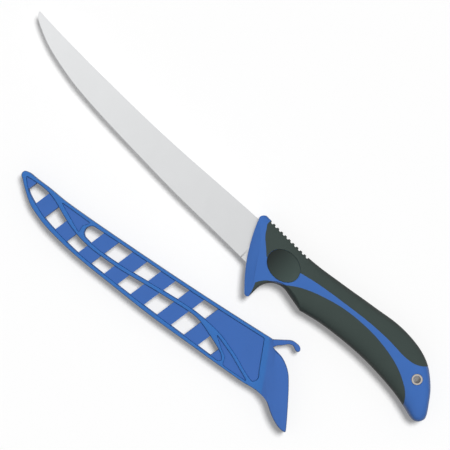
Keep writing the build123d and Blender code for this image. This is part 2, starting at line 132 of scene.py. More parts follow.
EDGE_RIM: Line = (
    (15, -101), (34, -208), (58, -329), (86, -446), (119, -534), (155, -609), (198, -671),
    (247, -726), (339, -798), (449, -853), (540, -899), (632, -935), (724, -954), (879, -985),
    (975, -1000),
)
FIN_UNDER: Line = (
    (205, -733), (302, -745), (396, -774), (530, -853), (663, -925), (796, -976), (912, -1000),
    (985, -1000),
)
FIN_REAR: Line = (
    (1000, -985), (892, -829), (777, -672), (663, -520), (549, -378), (434, -258), (320, -183),
    (186, -130), (73, -111), (-34, -92),
)
LATCH_OUTER: Line = (
    (-110, 6), (-3, 58), (91, 104), (206, 147), (262, 147), (378, 123), (409, 82),
)
LATCH_INNER: Line = (
    (387, 48), (329, 51), (271, 82), (226, 89), (159, 66), (91, 14), (-3, -46), (-34, -92),
)
LOWER_CELL_TOP: Line = (
    (24.5, -31), (46, -26), (101, -42), (137, -98), (186, -238), (238, -371), (296, -466),
    (370, -508), (443, -515), (540, -485), (632, -459), (708, -450), (748, -480), (783, -557),
    (848, -725), (869, -806), (877, -876),
)
LOWER_CELL_BASE: Line = (
    (877, -876), (870, -919), (783, -893), (677, -860), (522, -808), (406, -756), (296, -691),
    (192, -567), (143, -485), (101, -378), (53, -215), (34, -101), (24.5, -31),
)
UPPER_CELL_TOP: Line = ((296, -111), (330, -107), (604, -107), (852, -85))
UPPER_CELL_MOUTH: Line = ((953, -68), (998, -655), (1008, -775), (999, -883))
UPPER_CELL_BASE: Line = (
    (999, -883), (962, -801), (920, -674), (879, -573), (841, -485), (800, -430), (708, -371),
    (632, -378), (540, -404), (449, -433), (357, -427), (318, -401), (290, -365),
)
UPPER_CELL_END: Line = ((290, -365), (278, -254), (296, -111))
TIP_RECESS: Line = ((166, -71), (281, -96), (261, -226), (266, -366))
MOUTH_RECESS: Line = (
    (819, -515), (893, -678), (983, -940), (888.5, -935), (884, -788), (862.6, -707),
)
TANG: Line = (
    (12.0, 1.4), (60.0, 2.8), (111.3, 5.3), (111.3, -2.6), (60.0, -10.6), (26.0, -10.6),
    (12.0, -21.0),
)
TANG_ROOM: Line = (
    (-2.0, -0.5), (112.0, 3.0), (112.0, -6.0), (60.0, -11.0), (25.0, -11.0), (12.0, -21.5),
    (-2.0, -21.5),
)


# Lines


def scaled(shares: Line, *sizes: float) -> Array:
    """Thousandths as lengths, with one size for each column."""
    return np.asarray(shares, float) / 1000 * sizes


def smooth_line(points: Line, count: int) -> Array:
    """A natural cubic spline through points, spaced by chord length.

    Args:
        points: the points that the line goes through, in any number of dimensions.
        count: how many points the result has.

    Returns:
        An array of count evenly spaced points, ends included.
    """
    rows = np.asarray(points, float)
    gaps = np.linalg.norm(np.diff(rows, axis=0), axis=1)
    at = np.concatenate([[0.0], np.cumsum(gaps)])
    total = len(at)
    system, rise = np.eye(total), np.zeros_like(rows)
    for i in range(1, total - 1):
        system[i, i - 1 : i + 2] = gaps[i - 1], 2 * (gaps[i - 1] + gaps[i]), gaps[i]
        rise[i] = 6 * ((rows[i + 1] - rows[i]) / gaps[i] - (rows[i] - rows[i - 1]) / gaps[i - 1])
    bend = np.linalg.solve(system, rise)
    where = np.linspace(0, at[-1], count)
    cell = np.clip(np.searchsorted(at, where, side="right") - 1, 0, total - 2)
    width = gaps[cell][:, None]
    a = (at[cell + 1] - where)[:, None] / width
    b = 1 - a
    curve = ((a**3 - a) * bend[cell] + (b**3 - b) * bend[cell + 1]) * width**2 / 6
    return a * rows[cell] + b * rows[cell + 1] + curve


def full_turn(count: int) -> Array:
    """Evenly spaced angles round a circle."""
    return np.linspace(0, 2 * math.pi, count, endpoint=False)


def oval(centre: Point, axes: Point, turn: Array) -> Array:
    """The points of an oval at the angles in turn."""
    (x, y), (wide, tall) = centre, axes
    return np.column_stack([x + wide * np.cos(turn), y + tall * np.sin(turn)])


def arc_line(start: Point, middle: Point, end: Point, count: int) -> Array:
    """The arc of a circle through three points.

    Args:
        start, middle, end: points in the drawing.
        count: how many points the result has.

    Returns:
        An array of count points along the arc, ends included.
    """
    a, b, c = np.array((start, middle, end), float)
    centre = np.linalg.solve(2 * np.array((b - a, c - a)), (b @ b - a @ a, c @ c - a @ a))
    radius = np.linalg.norm(a - centre)
    angles = np.unwrap([math.atan2(y, x) for x, y in (a - centre, b - centre, c - centre)])
    if not min(angles[0], angles[2]) <= angles[1] <= max(angles[0], angles[2]):
        angles[2] += math.copysign(2 * math.pi, angles[1] - angles[0])
    return oval(centre, (radius, radius), np.linspace(angles[0], angles[2], count))


def joined(*lines: Line) -> Array:
    """Lines strung together into one closed outline, without doubled points.

    Args:
        lines: the lines, in order.

    Returns:
        Their points as one array.
    """
    rows = np.vstack([np.asarray(line, float) for line in lines])
    keep = np.linalg.norm(rows - np.roll(rows, 1, axis=0), axis=1) > SAME
    return rows[keep]


def evened(outline: Line, gap: float, soften: float) -> Array:
    """A closed outline with evenly spaced points and softened corners.

    Args:
        outline: the closed outline.
        gap: the distance between the new points.
        soften: the width of the bell-shaped smoothing along the line.

    Returns:
        The new outline.
    """
    rows = np.asarray(outline, float)
    closed = np.vstack([rows, rows[:1]])
    at = np.concatenate([[0.0], np.cumsum(np.linalg.norm(np.diff(closed, axis=0), axis=1))])
    where = np.linspace(0, at[-1], int(round(at[-1] / gap)), endpoint=False)
    even = np.column_stack([np.interp(where, at, closed[:, k]) for k in range(2)])
    reach = int(3 * soften / gap)
    shifts = range(-reach, reach + 1)
    weights = [math.exp(-0.5 * (k * gap / soften) ** 2) for k in shifts]
    return sum(w * np.roll(even, k, axis=0) for w, k in zip(weights, shifts)) / sum(weights)


def area(outline: Line) -> float:
    """Twice the signed area of a closed outline."""
    x, y = np.asarray(outline, float).T
    return float(np.dot(x, np.roll(y, -1)) - np.dot(y, np.roll(x, -1)))


def inside(point: Array, starts: Array, ends: Array) -> bool:
    """Whether a point lies inside borders that are given by their edges' two ends.

    Args:
        point: the place.
        starts, ends: the two ends of each edge.

    Returns:
        Whether the edges enclose it.
    """
    (x, y), run = point, ends - starts
    over = (starts[:, 1] > y) != (ends[:, 1] > y)
    at = starts[over, 0] + (y - starts[over, 1]) * run[over, 0] / run[over, 1]
    return bool(np.count_nonzero(at > x) % 2)


def grown(outline: Line, wall: float) -> Array:
    """A closed outline moved outwards by wall, inwards where wall is negative.

    Args:
        outline: a closed outline.
        wall: how far it moves out, or in if negative.

    Returns:
        The moved outline.
    """
    rows = np.asarray(outline, float)
    along = np.roll(rows, -1, axis=0) - np.roll(rows, 1, axis=0)
    along /= np.linalg.norm(along, axis=1)[:, None]
    side = math.copysign(1, area(rows))
    return rows + wall * side * np.column_stack([along[:, 1], -along[:, 0]])


# Meshes


def linked(name: str, data: bpy.types.ID) -> Piece:
    """A new object for a mesh, a lamp or a camera, linked to the scene.

    Args:
        name: its name.
        data: what it shows.

    Returns:
        The object.
    """
    piece = bpy.data.objects.new(name, data)
    bpy.context.scene.collection.objects.link(piece)
    return piece


def new_piece(name: str, points: Line, faces: Sequence[Sequence[int]]) -> Piece:
    """A linked object with a closed mesh whose faces point outwards.

    Args:
        name: the piece's name.
        points: its corners.
        faces: its faces, as rows of corner numbers.

    Returns:
        The new object.
    """
    mesh = bpy.data.meshes.new(name)
    mesh.from_pydata([tuple(map(float, p)) for p in points], [], faces)
    piece = linked(name, mesh)
    turn_outwards(piece)
    return piece


def turn_outwards(piece: Piece) -> None:
    """Merges doubled corners, fills slivers left open by a cut and points every face outwards.

    Args:
        piece: the object.
    """
    cage = bmesh.new()
    cage.from_mesh(piece.data)
    bmesh.ops.remove_doubles(cage, verts=cage.verts, dist=MERGE)
    bmesh.ops.dissolve_degenerate(cage, dist=MERGE, edges=cage.edges)
    bmesh.ops.delete(cage, geom=[corner for corner in cage.verts if not corner.link_faces])
    bmesh.ops.holes_fill(cage, edges=[edge for edge in cage.edges if edge.is_boundary], sides=0)
    bmesh.ops.recalc_face_normals(cage, faces=cage.faces)
    cage.to_mesh(piece.data)
    cage.free()


def band_faces(start: int, count: int, rows: int) -> list[tuple[int, ...]]:
    """The faces between closed rows of count corners each, numbered on from start."""
    return [(low + k, low + (k + 1) % count, low + count + (k + 1) % count, low + count + k)
            for low in range(start, start + (rows - 1) * count, count) for k in range(count)]


def stack(name: str, rings: Sequence[Line]) -> Piece:
    """A closed mesh through rings that all have the same number of points.

    Args:
        name: the piece's name.
        rings: the rings, in order.

    Returns:
        The mesh.
    """
    points, count = np.vstack(rings), len(rings[0])
    caps = [tuple(range(count)), tuple(range(len(points) - count, len(points)))]
    return new_piece(name, points, band_faces(0, count, len(rings)) + caps)


def prism(name: str, outline: Line, low: float, high: float) -> Piece:
    """An outline in the drawing's plane, drawn up from one height to another."""
    rows = np.asarray(outline, float)
    return stack(name, [np.column_stack([rows, np.full(len(rows), z)]) for z in (low, high)])


def cylinder(centre: Point, radius: float, low: float, high: float) -> Piece:
    """An upright round tool."""
    return prism("cylinder", oval(centre, (radius, radius), full_turn(count=64)), low, high)


def half_room(centre: Point, reach: float, level: float) -> Piece:
    """A square room from the middle plane up to a level, or down to a negative one.

    Args:
        centre: its middle in side view.
        reach: half of its width.
        level: how high or how low it ends.

    Returns:
        The room.
    """
    x, y = centre
    square = [(x - reach, y - reach), (x + reach, y - reach), (x + reach, y + reach),
              (x - reach, y + reach)]
    return prism("half_room", square, *sorted((0.0, level)))


def beam(name: str, line: Line, reach: float, section: Line) -> Piece:
    """A section drawn out along a line, both ways from the line's first point.

    Args:
        name: the piece's name.
        line: two points, which give its place and its direction.
        reach: how far it goes each way.
        section: its corners, as distance to the line's left and height.

    Returns:
        A closed mesh.
    """
    start, end = np.asarray(line)
    along = (end - start) / np.linalg.norm(end - start)
    inward = np.array((-along[1], along[0]))
    return stack(name, [[(*(start + far * along + across * inward), z) for across, z in section]
                        for far in (-reach, reach)])


def baked(piece: Piece) -> Piece:
    """The piece with its modifiers turned into a plain mesh.

    Args:
        piece: the object, which is replaced.

    Returns:
        The new object.
    """
    graph = bpy.context.evaluated_depsgraph_get()
    mesh = bpy.data.meshes.new_from_object(piece.evaluated_get(graph))
    name = piece.name
    fresh = linked(name, mesh)
    bpy.data.objects.remove(piece)
    fresh.name = mesh.name = name
    return fresh


def combine(base: Piece, how: Cut, *tools: Piece) -> Piece:
    """Cuts or joins closed meshes exactly, and keeps the tools.

    Args:
        base: the mesh that changes.
        how: the change.
        tools: the meshes that it is changed by, one after the other.

    Returns:
        The object that holds the result, under the base's name.
    """
    for tool in tools:
        change = base.modifiers.new(how.name, "BOOLEAN")
        change.operation, change.solver, change.object = how.value, "EXACT", tool
        base = baked(base)
    return base


def dropped(*pieces: Piece) -> None:
    """Removes helper objects that aren't needed any more."""
    for piece in pieces:
        bpy.data.objects.remove(piece)


def copied(piece: Piece, name: str) -> Piece:
    """A linked copy with its own mesh."""
    return linked(name, piece.data.copy())


def plate(
    name: str, outline: Line, half: float, rounding: Point,
    holes: Sequence[Line] = (), shares: Sequence[float] = (),
) -> Piece:
    """A flat plate with rounded edges, about the drawing's plane.

    Args:
        name: the piece's name.
        outline: its closed outline, with softened corners.
        half: half of its thickness.
        rounding: how wide and how deep its edges are rounded.
        holes: closed outlines inside it.
        shares: how much of the rounding's width each hole takes.

    Returns:
        The plate as a closed mesh.
    """
    wide, deep = rounding
    rise = [(wide * (1 - math.cos(t)), half - deep * (1 - math.sin(t)))
            for t in np.linspace(0, math.pi / 2, ROUND_STEPS + 1)]
    levels = [(inset, -z) for inset, z in reversed(rise)] + rise
    points, faces, borders, crown = [], [], [], []
    for line, wall in [(outline, -1), *zip(holes, shares)]:
        start, count = len(points), len(line)
        for inset, z in levels:
            points.extend((x, y, z) for x, y in grown(line, wall * inset))
        faces += band_faces(start, count, len(levels))
        top = len(points) - count
        borders += [(len(crown) + k, len(crown) + (k + 1) % count) for k in range(count)]
        crown += [(top + k, start + k) for k in range(count)]
    flat = np.array([points[high][:2] for high, _ in crown])
    ends = flat[[last for _, last in borders]]
    corners_in = [Vector(p) for p in flat]
    _, _, cells, origin, _, _ = delaunay_2d_cdt(corners_in, borders, [], 1, CLOSE)
    for cell in cells:
        corners = [origin[k][0] for k in cell]
        if inside(flat[corners].mean(axis=0), flat, ends):
            faces.append(tuple(crown[k][0] for k in corners))
            faces.append(tuple(crown[k][1] for k in reversed(corners)))
    return new_piece(name, points, faces)


# Nodes


class NodeTree:
    """A small helper that builds a geometry or shader tree and links it as it goes."""

    def __init__(self, tree: bpy.types.NodeTree) -> None:
        """Starts on an empty tree."""
        self.tree = tree

    def add(self, kind: str, links: dict | None = None, **values: object) -> Node:
        """Adds a node, sets its properties and fills its sockets.

        Args:
            kind: the node's type.
            links: socket name or number to a value, an output, or a node's first output.
            values: properties of the node itself.

        Returns:
            The node.
        """
        node = self.tree.nodes.new(kind)
        for key, value in values.items():
            setattr(node, key, value)
        for key, value in (links or {}).items():
            if isinstance(value, Node):
                value = value.outputs[0]
            if isinstance(value, Socket):
                self.tree.links.new(value, node.inputs[key])
            else:
                node.inputs[key].default_value = value
        return node

    def math(self, operation: str, *values: object) -> Node:
        """Adds a node that works out one number from others."""
        return self.add("ShaderNodeMath", dict(enumerate(values)), operation=operation)

    def ranged(self, value: object, given: Point = (0, 1), wanted: Point = (0, 1),
               **values: object) -> Node:
        """Adds a node that maps a value from the given range to the wanted one."""
        links = dict(enumerate((value, *given, *wanted)))
        return self.add("ShaderNodeMapRange", links, **values)

    def times(self, vector: object, share: Node) -> Node:
        """Adds a node that scales a vector or a colour."""
        links = {0: vector, "Scale": share}
        return self.add("ShaderNodeVectorMath", links, operation="SCALE")

    def axis(self, vector: Socket, name: str) -> Socket:
        """One component of a vector."""
        return self.add("ShaderNodeSeparateXYZ", {0: vector}).outputs[name]

    def noise(self, place: Socket, scale: float, detail: float, distortion: float = 0.0) -> Node:
        """Adds a cloudy noise that is read at a place."""
        return self.add("ShaderNodeTexNoise", {
            "Vector": place, "Scale": scale, "Detail": detail, "Distortion": distortion})


def shader_tree(owner: bpy.types.Material | bpy.types.World) -> NodeTree:
    """The emptied shader tree of a material or of the world.

    Args:
        owner: the material or the world.

    Returns:
        The tree's helper.
    """
    owner.use_nodes = True
    owner.node_tree.nodes.clear()
    return NodeTree(owner.node_tree)


def shape_tree(name: str, **inputs: str) -> tuple[NodeTree, dict[str, Socket]]:
    """A geometry tree that takes a shape, a material and other inputs.

    Args:
        name: the tree's name.
        inputs: the name of each other input, and its kind.

    Returns:
        The tree's helper and its input sockets by name.
    """
    group = bpy.data.node_groups.new(name, "GeometryNodeTree")
    for label, kind in {"Geometry": "Geometry", **inputs, "Finish": "Material"}.items():
        group.interface.new_socket(label, in_out="INPUT", socket_type="NodeSocket" + kind)
    group.interface.new_socket("Geometry", in_out="OUTPUT", socket_type="NodeSocketGeometry")
    nodes = NodeTree(group)
    return nodes, nodes.add("NodeGroupInput").outputs


def run_tree(
    piece: Piece, nodes: NodeTree, given: dict[str, Socket], shape: Node, **inputs: object,
) -> Piece:
    """Ends a geometry tree, runs it on a piece and bakes the result into a plain mesh.

    Args:
        piece: the object whose mesh goes in.
        nodes: the tree's helper.
        given: its input sockets.
        shape: the node that gives the shape, which comes out as real geometry.
        inputs: input name to value.

    Returns:
        The object that holds the result.
    """
    real = nodes.add("GeometryNodeRealizeInstances", {0: shape})
    dressed = nodes.add("GeometryNodeSetMaterial", {"Geometry": real, "Material": given["Finish"]})
    nodes.add("NodeGroupOutput", {"Geometry": dressed})
    change = piece.modifiers.new(nodes.tree.name, "NODES")
    change.node_group = nodes.tree
    for item in nodes.tree.interface.items_tree:
        if item.item_type == "SOCKET" and item.in_out == "INPUT" and item.name in inputs:
            change[item.identifier] = inputs[item.name]
    return baked(piece)


# Finishes


@dataclass(frozen=True)
class Finish:
    """What every finish has: a name, a slot, the colour it renders, its gloss, grain, wear, and
    painted light and shade.
    """

    name: str
    slot: str
    colour: Colour
    roughness: float
    grain: float
    grain_depth: float
    mottle: float = 0.04
    crease: Shading = Shading.MOULDED
    metallic: float = 0.0
    specular: float = 0.5
    painted_tone_ramp: Point = (1.0, 1.0)
    span: Point = (-1.0, 1.0)
    side_shade_tone: float = 1.0
    side_shade_slope: Point = (0.1, 0.8)
    patches: float = 140.0
    marks: float = 55.0
    smear: float = 0.8
    contrast: Point = (0.3, 0.7)
    gloss_change: float = 0.06

    @cache
    def material(self) -> bpy.types.Material:
        """The node material, with mottled colour, painted light and shade, varied gloss and a fine
        grain.

        Returns:
            The material.
        """
        made = bpy.data.materials.new(self.name)
        nodes = shader_tree(made)
        place = nodes.add("ShaderNodeTexCoord").outputs["Object"]
        shader = nodes.add("ShaderNodeBsdfPrincipled", {
            "Base Color": self.tint(nodes, place), "Metallic": self.metallic,
            "Specular IOR Level": self.specular, **self.wear(nodes, place)})
        nodes.add("ShaderNodeOutputMaterial", {"Surface": shader})
        return made

    def tint(self, nodes: NodeTree, place: Socket) -> Node:
        """The mottled colour, with painted light and shade: a brightness ramp along X, and painted
        shade that darkens upright sides.

        Args:
            nodes: the material's tree.
            place: the object coordinates, in metres.

        Returns:
            The node that gives the colour.
        """
        patch = nodes.ranged(nodes.noise(place, self.patches, detail=4.0),
                             wanted=(1 - self.mottle, 1 + self.mottle))
        base = nodes.times(self.base(nodes, place), patch)
        # Painted light and shade: the colour is scaled along X by the tone ramp; on the pad it
        # stands in for its dish's shading.
        tone = nodes.ranged(nodes.axis(place, "X"), self.span, self.painted_tone_ramp)
        # Painted shade: sides that face sideways are darkened, which also draws dark lines along
        # rounded edges and step walls.
        facing = nodes.add("ShaderNodeTexCoord").outputs["Normal"]
        rise = nodes.math("ABSOLUTE", nodes.axis(facing, "Z"))
        side = nodes.ranged(rise, self.side_shade_slope, (self.side_shade_tone, 1))
        return nodes.times(base, nodes.math("MULTIPLY", tone, side))

    def base(self, nodes: NodeTree, place: Socket) -> object:
        """The plain colour, before it is mottled and shaded."""
        return linear(self.colour)

    def drawn(self, nodes: NodeTree, place: Socket) -> object:
        """The coordinates that the grain is read at."""
        return place

    def wear(self, nodes: NodeTree, place: Socket) -> dict[str, Node]:
        """A gloss that varies with the grain and with handling marks, and a raised grain.

        Args:
            nodes: the material's tree.
            place: the object coordinates, in metres.

        Returns:
            The nodes for the shader's roughness and normal.
        """
        fine = nodes.noise(self.drawn(nodes, place), self.grain, detail=4.0)
        marks = nodes.noise(place, self.marks, detail=6.0, distortion=self.smear)
        blend = nodes.add("ShaderNodeMix", {0: 0.5, 2: fine, 3: marks})
        gloss = nodes.ranged(blend, self.contrast, (self.roughness - self.gloss_change,
                                                    self.roughness + self.gloss_change))
        bump = nodes.add("ShaderNodeBump", {
            "Strength": 1.0, "Distance": self.grain_depth * MM, "Height": fine})
        return {"Roughness": gloss, "Normal": bump}


@dataclass(frozen=True)
class SatinSteel(Finish):
    """Steel with a fine grain drawn out along the blade."""

    stretch: float = 0.06

    def drawn(self, nodes: NodeTree, place: Socket) -> object:
        """The coordinates, drawn out along the blade."""
        return nodes.add("ShaderNodeMapping", {"Vector": place, "Scale": (self.stretch, 1, 1)})


@dataclass(frozen=True)
class RimHighlightPlastic(Finish):
    """Plastic whose raised rims and ribs carry a painted highlight, lighter and a little bluer than
    its panels.
    """

    # The painted highlight's colour on the rims and ribs, and the heights over which it is mixed
    # in.
    rim: Colour = (46, 105, 177)
    middle: float = 0.007
    rise: Point = (0.0038, 0.0045)
    fall: Point = (0.00495, 0.0056)

    def base(self, nodes: NodeTree, place: Socket) -> object:
        """The panels' colour, and the painted highlight's colour at the height of the rims.

        Args:
            nodes: the material's tree.
            place: the object coordinates, in metres.

        Returns:
            The socket that gives the colour.
        """
        off = nodes.math("SUBTRACT", nodes.axis(place, "Z"), self.middle)
        height = nodes.math("ABSOLUTE", off)
        share = nodes.math("MULTIPLY", nodes.ranged(height, self.rise),
                           nodes.ranged(height, self.fall, (1, 0)))
        # Painted highlight: the rim colour is mixed in where the surface stands at the rims'
        # height.
        colours = {6: (*linear(self.colour), 1.0), 7: (*linear(self.rim), 1.0)}
        return nodes.add("ShaderNodeMix", {0: share, **colours}, data_type="RGBA").outputs[2]


def linear(colour: Colour) -> Colour:
    """A screen colour of 0 to 255 as linear light."""
    shares = [c / 255 for c in colour]
    return tuple(s / 12.92 if s <= 0.04045 else ((s + 0.055) / 1.055) ** 2.4 for s in shares)


# The tone ramp paints light and shade along X over its span; the side values paint shade on upright
# sides.
STEEL = SatinSteel("satin_steel", "blade_steel", (224, 225, 226), 0.42, 9000.0, 0.006, 0.015,
                   metallic=1.0, painted_tone_ramp=(1.1, 0.94), span=(-0.165, 0.014), crease=Shading.GROUND)
BLUE = Finish("blue_plastic", "blue_plastic", (53, 100, 172), 0.42, 5000.0, 0.012,
              side_shade_tone=0.6, side_shade_slope=(0.2, 0.78))
RUBBER = Finish("grip_rubber", "grip_rubber", (56, 66, 63), 0.62, 4200.0, 0.03, specular=0.3,
                side_shade_tone=0.28, side_shade_slope=(0.25, 0.78))
# The pad's ramp is painted shade and light that stands in for its dish's shading, darker towards
# its front.
PAD = Finish("pad_rubber", "pad_rubber", (52, 63, 60), 0.58, 4200.0, 0.03, specular=0.3,
             painted_tone_ramp=(0.2, 1.5), span=(0.032, 0.053), side_shade_tone=0.4)
EYELET = Finish("eyelet_nickel", "eyelet_metal", (192, 185, 178), 0.3, 3000.0, 0.004, 0.02,
                metallic=1.0, crease=Shading.TURNED)
SHEATH = RimHighlightPlastic("sheath_plastic", "sheath_plastic", (53, 98, 170), 0.38, 5000.0, 0.012,
                       side_shade_tone=0.45, side_shade_slope=(0.2, 0.97))


def row_of(shape: Piece, count: int, pitch: float, finish: Finish) -> Piece:
    """Repeats a shape along a straight line.

    Args:
        shape: the shape.
        count: how many there are.
        pitch: the distance from one to the next.
        finish: their finish.

    Returns:
        All of them as one mesh.
    """
    nodes, given = shape_tree("row_of_shapes", Count="Int", Step="Vector")
    line = nodes.add("GeometryNodeMeshLine", {"Count": given["Count"], "Offset": given["Step"]})
    placed = nodes.add("GeometryNodeInstanceOnPoints", {
        "Points": line, "Instance": given["Geometry"]})
    return run_tree(shape, nodes, given, placed, Count=count, Step=(pitch, 0.0, 0.0),
                    Finish=finish.material())


def turned(profile: Piece, radius: float, segments: int, finish: Finish) -> Piece:
    """Sweeps a profile round the upright axis.

    Args:
        profile: an object whose edges draw the profile.
        radius: how far from the axis the profile's own middle goes round.
        segments: the sides of the circle.
        finish: the ring's finish.

    Returns:
        The ring.
    """
    nodes, given = shape_tree("lathe", Segments="Int", Radius="Float")
    ring = nodes.add("GeometryNodeCurvePrimitiveCircle", {
        "Resolution": given["Segments"], "Radius": given["Radius"]})
    drawn = nodes.add("GeometryNodeMeshToCurve", {"Mesh": given["Geometry"]})
    swept = nodes.add("GeometryNodeCurveToMesh", {"Curve": ring, "Profile Curve": drawn})
    return run_tree(profile, nodes, given, swept, Segments=segments, Radius=radius,
                    Finish=finish.material())


def dress(piece: Piece, place: Matrix, finish: Finish, body: str) -> None:
    """Puts a piece in its place in metres, shaded smooth, with its finish and body.

    Args:
        piece: the object, in its drawing's millimetres, named after the CAD node it replaces.
        place: the drawing's place, in millimetres in the frame.
        finish: its finish.
        body: the body that it moves with.
    """
    turn_outwards(piece)
    mesh = piece.data
    mesh.transform(Matrix.Scale(MM, 4) @ place)
    mesh.polygons.foreach_set("use_smooth", [True] * len(mesh.polygons))
    mesh.set_sharp_from_angle(angle=math.radians(finish.crease.value))
    mesh.update()
    mesh.materials.clear()
    mesh.materials.append(finish.material())
    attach(piece, body)
    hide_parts(piece.name.removesuffix(ENDING))
    log.info("%s: %d faces on %s", piece.name, len(mesh.polygons), body)


# The knife


@dataclass
class HandleBuilder:
    """The two-shot handle: a blue core with its guard and tail, two soft grips and two pads."""

    guard_run: float = 26.0
    guard_drop: float = 35.7
    guard_rise: float = 6.1
    guard_half: float = 5.4
    length: float = 151.2
    palm_depth: float = 28.7
    half: float = 9.5
    grip_start_share: float = 1.12
    roundness: float = 0.74
    rows: int = 230
    around: int = 128
    inner_rows: int = 110
    inner_around: int = 64
    overrun: float = 6.0
    grip_wall: float = 2.0
    face_bevel_width: float = 6.2
    face_bevel_depth: float = 2.5
    finger_radius: float = 11.6
    finger_wall_share: float = 1.042
    finger_top_share: float = 0.476
    finger_depth: float = 11.7
    finger_half_width: float = 10.5
    finger_reach: float = 0.93
    finger_rings: int = 41
    finger_points: int = 56
    hump_points: int = 22
    hump_at: Point = (205, -683)
    pad_at: Point = (1104, -216)
    pad_axes: Point = (11.0, 8.6)
    pad_gap: float = 0.2
    pad_floor: float = 5.0
    dish_depth: float = 1.1
    dish_power: float = 0.8
    eyelet_at: Point = (834, 16)
    eyelet_hole: float = 2.65
    eyelet_seat: float = 3.4
    eyelet_share: float = 0.82
    flange: float = 0.6
    jimp_count: int = 10
    jimp_pitch: float = 3.18
    jimp_start: float = 6.42
    jimp_radius: float = 0.9
    jimp_depth: float = 1.15
    tang_half: float = 1.15

    def grip_start(self) -> float:
        """Where the grip's own stations begin."""
        return self.grip_start_share * self.guard_run

    def guard_points(self, shares: Line | Point) -> Array:
        """Thousandths of the guard's run and drop as points in the drawing."""
        return scaled(shares, self.guard_run, self.guard_drop)

    def grip_points(self, shares: Line | Point) -> Array:
        """Thousandths of the grip's span and depth as points in the drawing."""
        start = self.grip_start()
        return scaled(shares, self.length - start, self.palm_depth) + (start, 0)

    def eyelet_centre(self) -> Array:
        """Where the lanyard eyelet's axis stands."""
        return self.grip_points(self.eyelet_at)

    def stations(self) -> Array:
        """Rows of length, top, bottom and half width along the handle.

        Returns:
            The rows.
        """
        start = self.grip_start()
        guard = scaled(GUARD_STATIONS, self.guard_run, self.guard_rise, -self.guard_drop,
                       self.guard_half)
        grip = scaled(GRIP_STATIONS, self.length - start, self.palm_depth, self.palm_depth,
                      self.half)
        return np.vstack([guard, grip + (start, 0, 0, 0)])

    def form(self, inset: float, rows: int, around: int) -> Piece:
        """The crowned body of the handle, or what lies inset below its skin.

        Args:
            inset: the depth below the skin.
            rows: sections along it.
            around: points in each section.

        Returns:
            A closed mesh.
        """
        turn = full_turn(around)
        up, across = (np.sign(part) * np.abs(part) ** self.roundness
                      for part in (np.cos(turn), np.sin(turn)))
        rings = []
        for x, top, low, wide in smooth_line(self.stations(), rows):
            if wide > 2 * inset:
                middle, tall = (top + low) / 2, (top - low) / 2 - inset
                rings.append(np.column_stack(
                    [np.full(around, x), middle + tall * up, (wide - inset) * across]))
        return stack("form", rings)

    def finger_cutter(self, inset: float) -> Piece:
        """The finger recess as a tool, waisted like a pulley.

        Args:
            inset: how much larger it is all round.

        Returns:
            The tool.
        """
        centre = np.array((self.finger_wall_share * self.guard_run + self.finger_radius,
                           -self.finger_top_share * self.guard_drop - self.finger_radius))
        hump = self.grip_points(self.hump_at)
        across, up = hump - centre
        tangent = math.atan2(up, across) + math.acos(self.finger_radius / math.hypot(across, up))
        outward = np.array((math.cos(tangent), math.sin(tangent)))
        turn = np.linspace(math.pi, tangent, self.finger_points)
        floor = -self.guard_drop - 2 * self.overrun
        power = 2 / self.roundness
        rings = []
        for share in np.sin(np.linspace(-1, 1, self.finger_rings) * math.asin(self.finger_reach)):
            spread = inset + self.finger_depth * (1 - (1 - abs(share) ** power) ** (1 / power))
            radius, foot = self.finger_radius + spread, hump + spread * outward
            arc = oval(centre, (radius, radius), turn)
            slope = np.linspace(arc[-1], foot, self.hump_points)[1:]
            line = np.vstack([(centre[0] - radius, floor), arc, slope,
                              (foot[0] + self.overrun, floor)])
            height = np.full(len(line), share * self.finger_half_width)
            rings.append(np.column_stack([line, height]))
        return stack("finger_cutter", rings)

    def front_outline(self) -> Array:
        """Everything behind the guard's face, with its bump and its hooked tip.

        Returns:
            The outline.
        """
        bump = scaled(BUMP_ARC, self.guard_run, self.guard_rise)
        face, tip = self.guard_points(FACE_ARC), self.guard_points(TIP_ARC)
        far, low = self.length + self.overrun, -self.guard_drop - 2 * self.overrun
        behind_tip = self.finger_wall_share * self.guard_run + self.overrun
        return joined(
            arc_line(*bump, face[0], count=16),
            arc_line(*face, count=60),
            arc_line(face[2], *tip, count=12),
            [(behind_tip, low), (far, low), (far, self.palm_depth), (bump[0][0], self.palm_depth)],
        )

    def bevel_wedges(self) -> list[Piece]:
        """Wedges that slope both front edges of the guard back to a ridge.

        Returns:
            One wedge for each side.
        """
        start, middle, end = self.guard_points(FACE_ARC)
        rise = self.face_bevel_depth / self.face_bevel_width
        low = self.guard_half - self.face_bevel_depth - self.overrun * rise
        high = 2 * self.half
        section = [(self.face_bevel_width, self.guard_half), (self.face_bevel_width, high),
                   (-self.overrun, high), (-self.overrun, low)]
        return [beam("bevel_wedge", (middle, middle + end - start), 2 * self.guard_drop,
                     [(across, side * z) for across, z in section]) for side in (1, -1)]

    def grip_outlines(self) -> list[Array]:
        """The regions of the spine grip and the belly grip, closed beyond the skin.

        Returns:
            The two outlines.
        """
        hook = np.vstack([self.guard_points(BELLY_HOOK), self.grip_points(BELLY_EDGE)])
        outlines = []
        for front, edge, level in (
                (smooth_line(self.guard_points(SPINE_FRONT), count=60),
                 smooth_line(self.grip_points(SPINE_EDGE), count=160), self.palm_depth),
                (smooth_line(self.guard_points(BELLY_FRONT), count=24),
                 smooth_line(hook, count=200), -self.guard_drop - self.overrun)):
            outlines.append(joined(front, edge, [(edge[-1][0], level), (front[0][0], level)]))
        return outlines

    def pad_outline(self, gap: float) -> Array:
        """The thumb pad's oval, smaller by a gap all round."""
        axes = np.subtract(self.pad_axes, gap)
        return oval(self.guard_points(self.pad_at), axes, full_turn(count=120))

